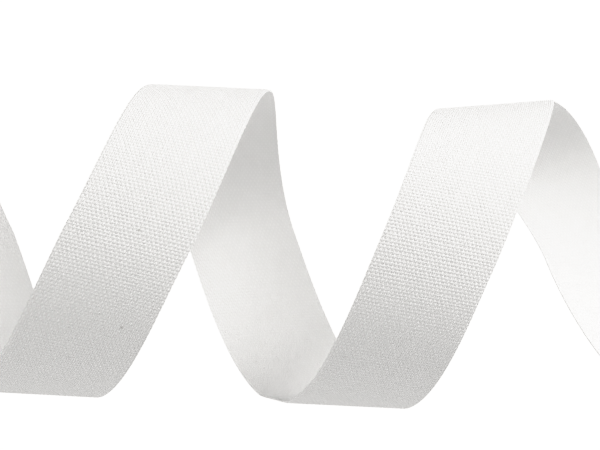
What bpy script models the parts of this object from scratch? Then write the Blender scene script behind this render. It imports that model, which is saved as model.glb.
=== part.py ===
"""A length of white plain-woven cotton tape that lies as an open, left-handed spiral of three turns.

The spiral's axis runs along X and is level. The tape rests on the bottoms of its loops, and its two cut ends
lie flat. The origin is on the surface it lies on, at the bottom centre of the tape's box. Metres, +Z up.
"""

import math
from collections import namedtuple

import bmesh
import bpy
from mathutils import Matrix, Vector

MM = 0.001

# The tape.
TAPE_WIDTH = 20 * MM
TAPE_THICKNESS = 1.0 * MM
END_LENGTH = 26 * MM

# The spiral: its axis lies this high over the middle of the tape where that rests.
AXIS_HEIGHT = 27.5 * MM
REST_ROUNDING = 0.3 * MM

# How finely the tape is divided along each quarter turn, along each flat end, and from edge to edge.
STEPS_A_QUARTER = 18
STEPS_AN_END = 6
STEPS_ACROSS = 4

TAPE_COLOUR = (0.86, 0.86, 0.85, 1.0)
TAPE_ROUGHNESS = 0.9

# The tape passes these places in turn, a quarter turn apart: under, before, over and behind its axis.
# x_mm is how far along the axis the tape's middle is there, and reach_mm how far from the axis it is.
# slant_deg is how far the tape's run leans towards +X there.
# heading_deg and rise_deg say where its cross line points: turned from X towards +Y, and up from level.
Place = namedtuple("Place", "name x_mm reach_mm slant_deg heading_deg rise_deg")
PLACES = [
    Place("under 0", -87.0, 28.1, 14.0, 14.0, 0.0),
    Place("before 0", -74.0, 28.0, 21.0, 0.0, -5.0),
    Place("over 0", -60.0, 26.5, 14.0, 0.0, 0.0),
    Place("behind 0", -49.0, 28.0, 26.0, 0.0, 0.0),
    Place("under 1", -34.5, 28.1, 15.0, -6.0, 0.0),
    Place("before 1", -20.0, 28.0, 24.0, -7.0, -8.0),
    Place("over 1", -4.5, 27.0, 16.0, -2.0, 1.0),
    Place("behind 1", 5.5, 27.5, 21.0, -6.0, 2.0),
    Place("under 2", 20.0, 28.1, 13.0, -5.0, 0.0),
    Place("before 2", 31.5, 27.5, 21.0, 5.0, -5.0),
    Place("over 2", 47.0, 27.0, 16.0, 16.0, 8.0),
    Place("behind 2", 73.5, 28.5, 24.0, 25.0, 0.0),
    Place("under 3", 94.0, 28.1, 15.0, 14.0, 0.0),
]
QUARTERS = len(PLACES) - 1


def between(start, end, start_slope, end_slope, t):
    """A smooth curve from start to end that has the given slopes there, at t from 0 to 1."""
    return (
        (2 * t**3 - 3 * t**2 + 1) * start
        + (t**3 - 2 * t**2 + t) * start_slope
        + (3 * t**2 - 2 * t**3) * end
        + (t**3 - t**2) * end_slope
    )


def value_at(column, turn):
    """One column of the table at a turn counted in quarters, on a smooth curve through its rows."""
    values = [getattr(place, column) for place in PLACES]
    row = min(int(turn), QUARTERS - 1)
    slopes = []
    for here in (row, row + 1):
        before, after = max(here - 1, 0), min(here + 1, QUARTERS)
        slopes.append((values[after] - values[before]) / (after - before))
    return between(values[row], values[row + 1], *slopes, turn - row)


def advance(place):
    """How far the tape would move along the axis in a quarter turn, at the slant it has at a place."""
    return math.tan(math.radians(place.slant_deg)) * place.reach_mm * math.pi / 2


def rested(height):
    """A height over the surface, with what would sink below it laid flat on it."""
    if height > REST_ROUNDING:
        return height
    if height < -REST_ROUNDING:
        return 0.0
    return (height + REST_ROUNDING) ** 2 / (4 * REST_ROUNDING)


def middle_of_spiral(turn):
    """The middle of the tape's width at a turn from 0 to QUARTERS, before the tape is laid flat below."""
    row = min(int(turn), QUARTERS - 1)
    first, second = PLACES[row], PLACES[row + 1]
    along = between(first.x_mm, second.x_mm, advance(first), advance(second), turn - row) * MM
    reach = value_at("reach_mm", turn) * MM
    angle = turn * math.pi / 2
    return Vector((along, -reach * math.sin(angle), AXIS_HEIGHT - reach * math.cos(angle)))


def flat_run(place):
    """The direction in which the tape crosses the place under its axis."""
    slant = math.radians(place.slant_deg)
    return Vector((math.sin(slant), -math.cos(slant), 0.0))


def middle(turn, past=0.0):
    """The middle of the tape at a turn, or past metres beyond its first or last turn, on a flat end."""
    point = middle_of_spiral(turn)
    if past:
        point += flat_run(PLACES[round(turn)]) * past
    return point


def run(turn):
    """The direction in which the tape runs at a turn."""
    step = 0.001
    back, ahead = max(turn - step, 0.0), min(turn + step, QUARTERS)
    return (middle_of_spiral(ahead) - middle_of_spiral(back)).normalized()


def cross_line(turn):
    """Half of the tape's cross line at a turn, long enough to make the tape's width square to its run."""
    heading = math.radians(value_at("heading_deg", turn))
    rise = math.radians(value_at("rise_deg", turn))
    line = Vector((
        math.cos(heading) * math.cos(rise),
        math.sin(heading) * math.cos(rise),
        math.sin(rise),
    ))
    square_part = line - line.dot(run(turn)) * run(turn)
    return line * (TAPE_WIDTH / 2 / square_part.length)


def stations():
    """The tape's middle point and half cross line at each step, from its first cut end to its last."""
    ends = [END_LENGTH * (1 - step / STEPS_AN_END) for step in range(STEPS_AN_END)]
    rows = [(middle(0, -past), cross_line(0)) for past in ends]
    for step in range(QUARTERS * STEPS_A_QUARTER + 1):
        turn = step / STEPS_A_QUARTER
        rows.append((middle(turn), cross_line(turn)))
    rows += [(middle(QUARTERS, past), cross_line(QUARTERS)) for past in reversed(ends)]
    return rows


def build_tape():
    """The tape's middle surface, bent from a flat grid, with its thickness laid on both sides."""
    rows = stations()
    mesh = bpy.data.meshes.new("tape")
    grid = bmesh.new()
    # The grid's own size is 2, so that a vertex is at x from -1 to 1 across the tape and at y along it.
    bmesh.ops.create_grid(grid, x_segments=STEPS_ACROSS, y_segments=len(rows) - 1, size=1.0)
    for vertex in grid.verts:
        point, half_line = rows[round((vertex.co.y + 1) / 2 * (len(rows) - 1))]
        vertex.co = point + half_line * vertex.co.x
        vertex.co.z = rested(vertex.co.z) + TAPE_THICKNESS / 2
    low = [min(vertex.co[axis] for vertex in grid.verts) for axis in range(2)]
    high = [max(vertex.co[axis] for vertex in grid.verts) for axis in range(2)]
    to_origin = Vector((-(low[0] + high[0]) / 2, -(low[1] + high[1]) / 2, 0.0))
    bmesh.ops.transform(grid, matrix=Matrix.Translation(to_origin), verts=grid.verts)
    bmesh.ops.recalc_face_normals(grid, faces=grid.faces)
    grid.to_mesh(mesh)
    grid.free()
    tape = bpy.data.objects.new("tape", mesh)
    wall = tape.modifiers.new("thickness", "SOLIDIFY")
    wall.thickness = TAPE_THICKNESS
    wall.offset = 0.0
    mesh.shade_smooth()
    return tape


def cotton():
    """Undyed, bleached cotton: white and matt."""
    material = bpy.data.materials.new("cotton")
    material.use_nodes = True
    shader = material.node_tree.nodes["Principled BSDF"]
    shader.inputs["Base Color"].default_value = TAPE_COLOUR
    shader.inputs["Roughness"].default_value = TAPE_ROUGHNESS
    shader.inputs["Metallic"].default_value = 0.0
    return material


for old in list(bpy.data.objects):
    bpy.data.objects.remove(old, do_unlink=True)

collection = bpy.data.collections.new("cotton_tape")
bpy.context.scene.collection.children.link(collection)
tape = build_tape()
tape.data.materials.append(cotton())
collection.objects.link(tape)
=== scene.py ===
"""A length of white plain-woven cotton tape that lies as an open, left-handed spiral of three turns.

It is one piece of cloth, 20 mm wide and about 607 mm long. The script bends it from a flat grid with a vertex
at each crossing of its threads. A plain pale floor, soft studio light and a camera stand round it.
"""

import bisect
import math
import random
from collections import namedtuple

import bpy
from mathutils import Matrix, Vector


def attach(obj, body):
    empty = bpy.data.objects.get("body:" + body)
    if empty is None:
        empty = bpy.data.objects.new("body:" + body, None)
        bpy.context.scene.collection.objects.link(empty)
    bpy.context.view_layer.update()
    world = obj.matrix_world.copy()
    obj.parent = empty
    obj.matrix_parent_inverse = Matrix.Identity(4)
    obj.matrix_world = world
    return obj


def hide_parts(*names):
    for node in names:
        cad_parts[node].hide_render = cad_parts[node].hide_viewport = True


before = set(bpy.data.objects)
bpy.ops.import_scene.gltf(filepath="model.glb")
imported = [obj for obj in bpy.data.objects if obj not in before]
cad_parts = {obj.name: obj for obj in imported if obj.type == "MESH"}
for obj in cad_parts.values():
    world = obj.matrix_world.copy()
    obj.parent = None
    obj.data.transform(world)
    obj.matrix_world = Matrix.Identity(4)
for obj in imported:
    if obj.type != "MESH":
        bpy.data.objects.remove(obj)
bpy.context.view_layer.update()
bpy.ops.object.select_all(action="DESELECT")

# The tape
# Bleached cotton yarn woven in plain weave on a narrow loom, so that both edges are woven selvedges and only
# the ends are cut. It is limp. It lies as it came off its roll, an open spiral on the bottoms of its loops.
MM = 0.001
TAPE_WIDTH = 20 * MM
CLOTH_THICKNESS = 0.42 * MM
SELVEDGE_THICKNESS_SHARE = 0.55
END_LENGTH = 26 * MM
WARP_ENDS = 56
PICK_PITCH = 0.613 * MM
PICK_SLANT_SHARE = 0.75

# The spiral: its axis lies this high over the middle of the tape where that rests.
AXIS_HEIGHT = 27.5 * MM
REST_ROUNDING = 0.3 * MM
STEPS_A_QUARTER = 60

# The tape passes these places in turn, a quarter turn apart: under, before, over and behind its axis.
# x_mm is how far along the axis the tape's middle is there, and reach_mm how far from the axis it is.
# slant_deg is how far the tape's run leans towards +X there.
# heading_deg and rise_deg say where its cross line points: turned from X towards +Y, and up from level.
Place = namedtuple("Place", "name x_mm reach_mm slant_deg heading_deg rise_deg")
PLACES = [
    Place("under 0", -87.0, 28.1, 14.0, 14.0, 0.0),
    Place("before 0", -74.0, 28.0, 21.0, 0.0, -5.0),
    Place("over 0", -60.0, 26.5, 14.0, 0.0, 0.0),
    Place("behind 0", -49.0, 28.0, 26.0, 0.0, 0.0),
    Place("under 1", -34.5, 28.1, 15.0, -6.0, 0.0),
    Place("before 1", -20.0, 28.0, 24.0, -7.0, -8.0),
    Place("over 1", -4.5, 27.0, 16.0, -2.0, 1.0),
    Place("behind 1", 5.5, 27.5, 21.0, -6.0, 2.0),
    Place("under 2", 20.0, 28.1, 13.0, -5.0, 0.0),
    Place("before 2", 31.5, 27.5, 21.0, 5.0, -5.0),
    Place("over 2", 47.0, 27.0, 16.0, 16.0, 8.0),
    Place("behind 2", 73.5, 28.5, 24.0, 25.0, 0.0),
    Place("under 3", 94.0, 28.1, 15.0, 14.0, 0.0),
]
QUARTERS = len(PLACES) - 1


def between(start, end, start_slope, end_slope, t):
    """A smooth curve from start to end that has the given slopes there, at t from 0 to 1."""
    return (
        (2 * t**3 - 3 * t**2 + 1) * start
        + (t**3 - 2 * t**2 + t) * start_slope
        + (3 * t**2 - 2 * t**3) * end
        + (t**3 - t**2) * end_slope
    )


def value_at(column, turn):
    """One column of the table at a turn counted in quarters, on a smooth curve through its rows."""
    values = [getattr(place, column) for place in PLACES]
    row = min(int(turn), QUARTERS - 1)
    slopes = []
    for here in (row, row + 1):
        before, after = max(here - 1, 0), min(here + 1, QUARTERS)
        slopes.append((values[after] - values[before]) / (after - before))
    return between(values[row], values[row + 1], *slopes, turn - row)


def advance(place):
    """How far the tape would move along the axis in a quarter turn, at the slant it has at a place."""
    return math.tan(math.radians(place.slant_deg)) * place.reach_mm * math.pi / 2


def middle_of_spiral(turn):
    """The middle of the tape's width at a turn from 0 to QUARTERS, before the tape is laid flat below."""
    row = min(int(turn), QUARTERS - 1)
    first, second = PLACES[row], PLACES[row + 1]
    along = between(first.x_mm, second.x_mm, advance(first), advance(second), turn - row) * MM
    reach = value_at("reach_mm", turn) * MM
    angle = turn * math.pi / 2
    return Vector((along, -reach * math.sin(angle), AXIS_HEIGHT - reach * math.cos(angle)))


def run(turn):
    """The direction in which the tape runs at a turn."""
    step = 0.001
    back, ahead = max(turn - step, 0.0), min(turn + step, QUARTERS)
    return (middle_of_spiral(ahead) - middle_of_spiral(back)).normalized()


def flat_run(turn):
    """The direction in which the tape crosses the place under its axis, on the surface it lies on."""
    slant = math.radians(PLACES[turn].slant_deg)
    return Vector((math.sin(slant), -math.cos(slant), 0.0))


def cross_line(turn):
    """Half of the tape's cross line at a turn, long enough to make the tape's width square to its run."""
    heading = math.radians(value_at("heading_deg", turn))
    rise = math.radians(value_at("rise_deg", turn))
    line = Vector((
        math.cos(heading) * math.cos(rise),
        math.sin(heading) * math.cos(rise),
        math.sin(rise),
    ))
    square_part = line - line.dot(run(turn)) * run(turn)
    return line * (TAPE_WIDTH / 2 / square_part.length)


def rested(height):
    """A height over the surface, with what would sink below it laid flat on it."""
    if height > REST_ROUNDING:
        return height
    if height < -REST_ROUNDING:
        return 0.0
    return (height + REST_ROUNDING) ** 2 / (4 * REST_ROUNDING)


# A section of the tape: its distance along the tape, its middle and half of its cross line. The lead is how
# far ahead of the middle the end of that half line lies.
Section = namedtuple("Section", "along middle half_line lead")


def sections_of_tape():
    """Close sections of the tape from its first cut end to its last, with a flat end at each side."""
    rows = []
    travelled = END_LENGTH
    for step in range(QUARTERS * STEPS_A_QUARTER + 1):
        turn = step / STEPS_A_QUARTER
        middle, half_line = middle_of_spiral(turn), cross_line(turn)
        if rows:
            travelled += (middle - rows[-1].middle).length
        rows.append(Section(travelled, middle, half_line, half_line.dot(run(turn))))
    first, last = rows[0], rows[-1]
    first_cut = first.middle - flat_run(0) * END_LENGTH
    last_cut = last.middle + flat_run(QUARTERS) * END_LENGTH
    start = first._replace(along=0.0, middle=first_cut)
    stop = last._replace(along=travelled + END_LENGTH, middle=last_cut)
    return [start, *rows, stop]


SECTIONS = sections_of_tape()
DISTANCES = [section.along for section in SECTIONS]
TAPE_LENGTH = DISTANCES[-1]
PICKS = round(TAPE_LENGTH / PICK_PITCH)


def section_at(along):
    """The tape's section at any distance along it."""
    after = min(max(bisect.bisect_left(DISTANCES, along), 1), len(SECTIONS) - 1)
    one, two = SECTIONS[after - 1], SECTIONS[after]
    share = (along - one.along) / (two.along - one.along)
    return Section(
        along,
        one.middle.lerp(two.middle, share),
        one.half_line.lerp(two.half_line, share),
        one.lead + (two.lead - one.lead) * share,
    )


def place_on_tape(along, across):
    """The point at a distance along the tape and a share across it, -1 to 1, with the picks' slant in it."""
    lead = section_at(along).lead
    section = section_at(along - (1 - PICK_SLANT_SHARE) * across * lead)
    point = section.middle + section.half_line * across
    point.z = rested(point.z)
    return point


# The spiral is set so that its box has its middle over the origin, as its solid does.
edge_points = [section.middle + section.half_line * side for section in SECTIONS for side in (-1, 1)]
TO_ORIGIN = Vector((
    -(min(point.x for point in edge_points) + max(point.x for point in edge_points)) / 2,
    -(min(point.y for point in edge_points) + max(point.y for point in edge_points)) / 2,
    0.0,
))

# How the threads stray: every yarn is a little uneven, and its crossings differ in height.
END_STRAY = 0.02 * MM
PICK_STRAY = 0.04 * MM
SCALLOP = 0.05 * MM
CUT_STRAY = 0.15 * MM
CROWN_HEIGHT = 0.025 * MM
CROWN_UNEVENNESS = 0.1
STRAY_SEED = 20

rng = random.Random(STRAY_SEED)
pick_strays = [rng.gauss(0, PICK_STRAY) for _ in range(PICKS)]
end_strays = [rng.gauss(0, END_STRAY) for _ in range(WARP_ENDS)]

# The cloth starts as a flat grid with a vertex at each crossing, and each goes to its place on the spiral.
bpy.ops.mesh.primitive_grid_add(x_subdivisions=WARP_ENDS - 1, y_subdivisions=PICKS - 1, size=2)
tape = bpy.context.object
tape.name = tape.data.name = "cotton_tape"
tape.data.uv_layers[0].name = "cloth"
thickness_share = tape.vertex_groups.new(name="thickness")
for vertex in tape.data.vertices:
    pick, end = divmod(vertex.index, WARP_ENDS)
    side = 2 * end / (WARP_ENDS - 1) - 1
    along = pick / (PICKS - 1) * TAPE_LENGTH
    at_selvedge = end in (0, WARP_ENDS - 1)
    if pick in (0, PICKS - 1):
        along += rng.uniform(0, CUT_STRAY) * (1 if pick == 0 else -1)
    else:
        along += pick_strays[pick]
    if at_selvedge:
        weft_turns_here = (pick + (end > 0)) % 2
        stray = math.copysign(SCALLOP * weft_turns_here, side)
    else:
        stray = end_strays[end]
    vertex.co = place_on_tape(along, side + stray / (TAPE_WIDTH / 2)) + TO_ORIGIN
    thickness_share.add([vertex.index], SELVEDGE_THICKNESS_SHARE if at_selvedge else 1.0, "REPLACE")
outward = [vertex.normal.copy() for vertex in tape.data.vertices]

# The cloth's thickness goes half to each side. The grid's own vertices become the spiral's outer side.
cloth = tape.modifiers.new("cloth", "SOLIDIFY")
cloth.thickness = CLOTH_THICKNESS
cloth.offset = 0.0
cloth.vertex_group = "thickness"
bpy.ops.object.modifier_apply(modifier=cloth.name)
tape.vertex_groups.clear()

# Where a warp end passes over a pick its crown stands out, and where it passes under it lies back.
CROSSINGS = WARP_ENDS * PICKS
for vertex, normal in zip(tape.data.vertices[:CROSSINGS], outward):
    crown = 1 if sum(divmod(vertex.index, WARP_ENDS)) % 2 == 0 else -1
    vertex.co += normal * CROWN_HEIGHT * crown * rng.gauss(1, CROWN_UNEVENNESS)

# The outer side's faces are split so that each crown stands alone, and shaded flat, which keeps the crowns.
# The inner side looks smooth in the loops' shade, and only every fifth warp end has its vertices there.
INSIDE_SPACING = 5
SMOOTH_UP_TO = math.radians(40)


def select_only(kind, chosen):
    """Selects those faces or edges of the tape for the next operator, and nothing else."""
    bpy.ops.object.mode_set(mode="EDIT")
    bpy.ops.mesh.select_mode(type=kind)
    bpy.ops.mesh.select_all(action="DESELECT")
    bpy.ops.object.mode_set(mode="OBJECT")
    elements = tape.data.edges if kind == "EDGE" else tape.data.polygons
    for index in chosen:
        elements[index].select = True
    bpy.ops.object.mode_set(mode="EDIT")


def on_outer_side(face):
    """Whether a face of the tape lies wholly on the spiral's outer side."""
    return max(face.vertices) < CROSSINGS


def starts_at_crown(face):
    """Whether a face's first vertex is a warp end's crown."""
    return sum(divmod(face.vertices[0], WARP_ENDS)) % 2 == 0


def is_left_out(edge):
    """Whether an edge runs along one of the warp ends that are left out on the inner side."""
    ends = [(index - CROSSINGS) % WARP_ENDS for index in edge.vertices]
    return min(edge.vertices) >= CROSSINGS and ends[0] == ends[1] and ends[0] % INSIDE_SPACING != 0


bpy.ops.object.shade_smooth_by_angle(angle=SMOOTH_UP_TO)
select_only("EDGE", [edge.index for edge in tape.data.edges if is_left_out(edge)])
bpy.ops.mesh.dissolve_edges(use_verts=True)
bpy.ops.object.mode_set(mode="OBJECT")
for split, from_crown in (("FIXED_ALTERNATE", True), ("FIXED", False)):
    quads = [face for face in tape.data.polygons if len(face.vertices) == 4 and on_outer_side(face)]
    select_only("FACE", [face.index for face in quads if starts_at_crown(face) == from_crown])
    bpy.ops.mesh.quads_convert_to_tris(quad_method=split)
    bpy.ops.object.mode_set(mode="OBJECT")
select_only("FACE", [face.index for face in tape.data.polygons if on_outer_side(face)])
bpy.ops.mesh.faces_shade_flat()
bpy.ops.object.mode_set(mode="OBJECT")

# It rests on the surface with its lowest crowns.
lowest = min(vertex.co.z for vertex in tape.data.vertices)
tape.data.transform(Matrix.Translation((0, 0, -lowest)))

# How crisp the weave and the painted shade in its hollows look: fully on the outer side, and faintly on the
# inner side and the edges.
INSIDE_CRISPNESS = 0.35
crispness = tape.data.attributes.new("crispness", "FLOAT", "FACE")
for face, value in zip(tape.data.polygons, crispness.data):
    value.value = 1.0 if on_outer_side(face) else INSIDE_CRISPNESS


def feed(tree, socket, value):
    """Sets a socket to a value, or wires it from another node's output."""
    if isinstance(value, bpy.types.NodeSocket):
        tree.links.new(value, socket)
    else:
        socket.default_value = value


def add_node(tree, kind, inputs, **settings):
    """A new node with its settings, and its inputs fed by their names or numbers."""
    node = tree.nodes.new(kind)
    for name, value in settings.items():
        setattr(node, name, value)
    for socket, value in inputs.items():
        feed(tree, node.inputs[socket], value)
    return node


def math_of(tree, operation, *values):
    """The output of a Math node on values or outputs."""
    return add_node(tree, "ShaderNodeMath", dict(enumerate(values)), operation=operation).outputs["Value"]


def noise_of(tree, vector, scale, detail):
    """The output of a Noise Texture node, round 0.5."""
    inputs = {"Vector": vector, "Scale": scale, "Detail": detail}
    return add_node(tree, "ShaderNodeTexNoise", inputs).outputs["Fac"]


def mixed(tree, share, first, second):
    """The colour output of a Mix node, which goes from the first colour to the second."""
    mix = add_node(tree, "ShaderNodeMix", {"Factor": share}, data_type="RGBA")
    colours_in = [socket for socket in mix.inputs if socket.type == "RGBA"]
    for socket, colour in zip(colours_in, (first, second)):
        feed(tree, socket, colour)
    return next(socket for socket in mix.outputs if socket.type == "RGBA")


# Matt white cotton. A little light gets into its surface, and its fuzz has a faint sheen.
COTTON_ROUGHNESS = 0.88
COTTON_GLOSS = 0.25
FUZZ_SHEEN = 0.15
FUZZ_ROUGHNESS = 0.5
LIGHT_REACH = 0.06 * MM

cotton = bpy.data.materials.new("white cotton tape")
cotton.use_nodes = True
tree = cotton.node_tree
shader = tree.nodes["Principled BSDF"]
shader.inputs["Roughness"].default_value = COTTON_ROUGHNESS
shader.inputs["Specular IOR Level"].default_value = COTTON_GLOSS
shader.inputs["Sheen Weight"].default_value = FUZZ_SHEEN
shader.inputs["Sheen Roughness"].default_value = FUZZ_ROUGHNESS
shader.inputs["Subsurface Weight"].default_value = 1.0
shader.inputs["Subsurface Radius"].default_value = (1.0, 1.0, 1.0)
shader.inputs["Subsurface Scale"].default_value = LIGHT_REACH

# Thread by thread: u counts the warp ends from the left selvedge, and v the picks from the first cut end.
cloth_map = add_node(tree, "ShaderNodeUVMap", {}, uv_map="cloth").outputs["UV"]
threads = add_node(
    tree, "ShaderNodeMapping", {"Vector": cloth_map, "Scale": (WARP_ENDS - 1, PICKS - 1, 1)}
).outputs["Vector"]
counts = add_node(tree, "ShaderNodeSeparateXYZ", {"Vector": threads})
u, v = counts.outputs["X"], counts.outputs["Y"]
end, pick = math_of(tree, "ROUND", u), math_of(tree, "ROUND", v)
beside_end, beside_pick = math_of(tree, "SUBTRACT", u, end), math_of(tree, "SUBTRACT", v, pick)

# Each yarn waves over and under the ones that it crosses, the weft less and deeper down than the warp.
# These heights and the roundness of a yarn are shares of the weave's depth.
WARP_WAVE = 0.5
WARP_LEVEL = 0.0
WEFT_WAVE = -0.3
WEFT_LEVEL = -0.25
YARN_ROUNDNESS = 0.5
YARNS_MEET_OVER = 0.08


def yarn_height(tree, yarn, crossed, beside, wave, level):
    """How high a yarn's surface stands, where beside is how far from the yarn's middle line a point is."""
    turned = math_of(tree, "MULTIPLY", math_of(tree, "ADD", yarn, crossed), math.pi)
    middle_line = math_of(tree, "MULTIPLY_ADD", math_of(tree, "COSINE", turned), wave, level)
    round_top = math_of(tree, "COSINE", math_of(tree, "MULTIPLY", beside, math.pi))
    return math_of(tree, "MULTIPLY_ADD", round_top, YARN_ROUNDNESS, middle_line)


warp = yarn_height(tree, end, v, beside_end, WARP_WAVE, WARP_LEVEL)
weft = yarn_height(tree, pick, u, beside_pick, WEFT_WAVE, WEFT_LEVEL)
weave = math_of(tree, "SMOOTH_MAX", warp, weft, YARNS_MEET_OVER)

# Yarns swell and thin along their length, and no two crossings are alike. Each yarn has its own noise, read
# along a line of its own, and the weft's lines lie far from the warp's.
NOISE_STEP_BESIDE = 7.3
NOISE_STEP_ALONG = 0.12
WARP_NOISE_AT = 0.0
WEFT_NOISE_AT = 50.0
SLUB_DETAIL = 2.0
LEAST_SWELL = 0.72
SWELL_ALONG_YARN = 0.4
SWELL_AT_CROSSING = 0.15


def slubs_of(tree, yarn, crossed, noise_at):
    """A noise that differs from one yarn to the next and changes slowly along each."""
    line = {
        "X": math_of(tree, "MULTIPLY", yarn, NOISE_STEP_BESIDE),
        "Y": math_of(tree, "MULTIPLY", crossed, NOISE_STEP_ALONG),
        "Z": noise_at,
    }
    vector = add_node(tree, "ShaderNodeCombineXYZ", line).outputs["Vector"]
    return noise_of(tree, vector, 1.0, SLUB_DETAIL)


crossing = add_node(tree, "ShaderNodeCombineXYZ", {"X": end, "Y": pick}).outputs["Vector"]
chance = add_node(
    tree, "ShaderNodeTexWhiteNoise", {"Vector": crossing}, noise_dimensions="2D"
).outputs["Value"]
warp_slubs = slubs_of(tree, end, v, WARP_NOISE_AT)
weft_slubs = slubs_of(tree, pick, u, WEFT_NOISE_AT)
swell_along = math_of(tree, "MULTIPLY_ADD", warp_slubs, SWELL_ALONG_YARN, LEAST_SWELL)
swell = math_of(tree, "MULTIPLY_ADD", chance, SWELL_AT_CROSSING, swell_along)

# The weave stands out by its depth, and single fibres by theirs. Both are fainter where it is less crisp.
WEAVE_DEPTH = 0.12 * MM
FIBRE_DEPTH = 0.006 * MM
FIBRES_A_METRE = 6000.0
FIBRE_DETAIL = 2.0

on_object = add_node(tree, "ShaderNodeTexCoord", {}).outputs["Object"]
crisp = add_node(tree, "ShaderNodeAttribute", {}, attribute_name="crispness").outputs["Fac"]
fibres = noise_of(tree, on_object, FIBRES_A_METRE, FIBRE_DETAIL)
relief = math_of(tree, "MULTIPLY", math_of(tree, "MULTIPLY", weave, swell), WEAVE_DEPTH)
relief = math_of(tree, "MULTIPLY_ADD", fibres, FIBRE_DEPTH, relief)
relief = math_of(tree, "MULTIPLY", relief, crisp)
bump = add_node(tree, "ShaderNodeBump", {"Height": relief, "Distance": 1.0, "Strength": 1.0})
feed(tree, shader.inputs["Normal"], bump.outputs["Normal"])

# The cotton's tone is softly blotched, with each yarn a little lighter or darker. It comes from three noises,
# whose sum lies round 1.5.
COTTON = (0.98, 0.977, 0.971, 1.0)
COTTON_SHADE = (0.93, 0.927, 0.921, 1.0)
BLOTCHES_A_METRE = 120.0
BLOTCH_DETAIL = 3.0
MIDDLE_OF_NOISES = 1.5
SHADE_CONTRAST = 1.3

blotches = noise_of(tree, on_object, BLOTCHES_A_METRE, BLOTCH_DETAIL)
noises = math_of(tree, "ADD", blotches, math_of(tree, "ADD", warp_slubs, weft_slubs))
shade = math_of(tree, "MULTIPLY_ADD", noises, SHADE_CONTRAST, 0.5 - MIDDLE_OF_NOISES * SHADE_CONTRAST)
tone = mixed(tree, shade, COTTON, COTTON_SHADE)

# Painted shade: the hollows between the crowns, where less light comes back, are painted greyer.
# On the inner side this painted shade shows as an even tone.
PAINTED_HOLLOW_SHADE = (0.865, 0.862, 0.857, 1.0)
HOLLOW_BELOW = 0.3
CROWN_ABOVE = 0.95
PAINTED_SHADE_INSIDE = 0.35

crown = add_node(
    tree,
    "ShaderNodeMapRange",
    {"Value": weave, "From Min": HOLLOW_BELOW, "From Max": CROWN_ABOVE},
    interpolation_type="SMOOTHSTEP",
).outputs["Result"]
painted_shade_share = math_of(tree, "SUBTRACT", 1 - PAINTED_SHADE_INSIDE, crown)
painted_shade_share = math_of(tree, "MULTIPLY_ADD", painted_shade_share, crisp, PAINTED_SHADE_INSIDE)
# The painted shade darkens the cotton's tone in the hollows.
tone = mixed(tree, painted_shade_share, tone, PAINTED_HOLLOW_SHADE)

# A speck of seed husk is left in the cotton here and there. Its size is a share of the specks' spacing.
HUSK = (0.45, 0.44, 0.42, 1.0)
HUSKS_A_METRE = 90.0
HUSK_CORE = 0.012
HUSK_RIM = 0.03
HUSK_STRENGTH = 0.5

from_husk = add_node(tree, "ShaderNodeTexVoronoi", {"Vector": on_object, "Scale": HUSKS_A_METRE})
husk = add_node(tree, "ShaderNodeMapRange", {
    "Value": from_husk.outputs["Distance"],
    "From Min": HUSK_CORE,
    "From Max": HUSK_RIM,
    "To Min": HUSK_STRENGTH,
    "To Max": 0.0,
}).outputs["Result"]
tone = mixed(tree, husk, tone, HUSK)
feed(tree, shader.inputs["Base Color"], tone)
tape.data.materials.append(cotton)

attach(tape, "root")
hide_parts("tape")

# The floor
# A light table: a plain white sheet, lit evenly from below, that the tape lies on. It glows onto the tape
# from below, and shows as pure white.
FLOOR_WIDTH = 6.0
LAMP_WHITE = (1.0, 0.99, 0.976)
FLOOR_GLOW = 0.747
SEEN_GLOW = 1.3


def glow_strength(tree, glow):
    """How strongly a white surface glows onto the tape, and how brightly the camera sees it."""
    seen = add_node(tree, "ShaderNodeLightPath", {}).outputs["Is Camera Ray"]
    return math_of(tree, "MULTIPLY_ADD", seen, SEEN_GLOW - glow, glow)


bpy.ops.mesh.primitive_plane_add(size=FLOOR_WIDTH, location=(0, 0, 0))
floor = bpy.context.object
floor.name = floor.data.name = "floor"
table_top = bpy.data.materials.new("white light table")
table_top.use_nodes = True
tree = table_top.node_tree
tree.nodes.remove(tree.nodes["Principled BSDF"])
table_light = {"Color": (*LAMP_WHITE, 1), "Strength": glow_strength(tree, FLOOR_GLOW)}
glowing = add_node(tree, "ShaderNodeEmission", table_light).outputs["Emission"]
feed(tree, tree.nodes["Material Output"].inputs["Surface"], glowing)
floor.data.materials.append(table_top)

# The light
# A softbox high on the right in front, a wider and weaker one on the left, and weak light from all round.
# right_deg is how far round to the right of the front a softbox stands, and high_deg how high over the floor.
# Its distance and its width are in metres, and its power is in watts.
Softbox = namedtuple("Softbox", "name right_deg high_deg distance width power")
SOFTBOXES = [
    Softbox("key softbox", 58, 45, 1.8, 0.92, 33.6),
    Softbox("fill softbox", -60, 25, 1.8, 1.8, 17.7),
]
ROUND_LIGHT = 0.07

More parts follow.
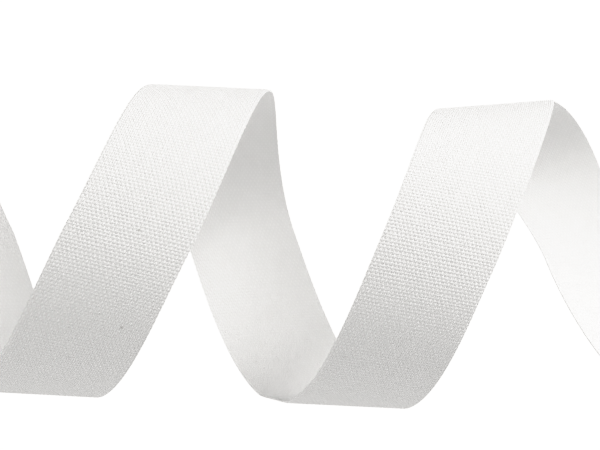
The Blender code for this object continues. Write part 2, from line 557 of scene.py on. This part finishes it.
for box in SOFTBOXES:
    lamp = bpy.data.lights.new(box.name, "AREA")
    lamp.size = box.width
    lamp.energy = box.power
    lamp.color = LAMP_WHITE
    softbox = bpy.data.objects.new(box.name, lamp)
    bpy.context.scene.collection.objects.link(softbox)
    softbox.matrix_world = (
        Matrix.Rotation(math.radians(box.right_deg), 4, "Z")
        @ Matrix.Rotation(math.radians(90 - box.high_deg), 4, "X")
        @ Matrix.Translation((0, 0, box.distance))
    )
    softbox.visible_camera = False

world = bpy.data.worlds.new("white surroundings")
bpy.context.scene.world = world
world.use_nodes = True
around = world.node_tree.nodes["Background"]
around.inputs["Color"].default_value = (*LAMP_WHITE, 1)
feed(world.node_tree, around.inputs["Strength"], glow_strength(world.node_tree, ROUND_LIGHT))

# The picture's tones: as they are up to light grey, and gently flattened from there to white.
SHOULDER = [(0.775, 0.775), (0.855, 0.847), (0.954, 0.911), (1.005, 0.933), (1.1, 0.968), (1.25, 1.0)]
COMBINED_CURVE = 3
picture = bpy.context.scene.view_settings
picture.view_transform = "Standard"
picture.use_curve_mapping = True
picture.curve_mapping.clip_max_x = SHOULDER[-1][0]
tone_curve = picture.curve_mapping.curves[COMBINED_CURVE]
tone_curve.points[-1].location = SHOULDER[-1]
for light, shown in SHOULDER[:-1]:
    tone_curve.points.new(light, shown)
for point in tone_curve.points:
    point.handle_type = "VECTOR"
picture.curve_mapping.update()

# The camera
# It looks level along the floor at the two front strands, from a little to their left, and leans a little.
CAMERA_TARGET = Vector((8.6, -1.9, 31.45)) * MM
CAMERA_DISTANCE = 366 * MM
CAMERA_TURN_DEG = 8.4
CAMERA_LEAN_DEG = 2.9
CAMERA_LENS = 123.6
SENSOR_WIDTH = 36
NEAREST_SEEN = 10 * MM

lens = bpy.data.cameras.new("camera")
lens.sensor_width = SENSOR_WIDTH
lens.lens = CAMERA_LENS
lens.clip_start = NEAREST_SEEN
camera = bpy.data.objects.new("camera", lens)
bpy.context.scene.collection.objects.link(camera)
camera.matrix_world = (
    Matrix.Translation(CAMERA_TARGET)
    @ Matrix.Rotation(-math.radians(CAMERA_TURN_DEG), 4, "Z")
    @ Matrix.Rotation(math.pi / 2, 4, "X")
    @ Matrix.Rotation(math.radians(CAMERA_LEAN_DEG), 4, "Z")
    @ Matrix.Translation((0, 0, CAMERA_DISTANCE))
)
bpy.context.scene.camera = camera
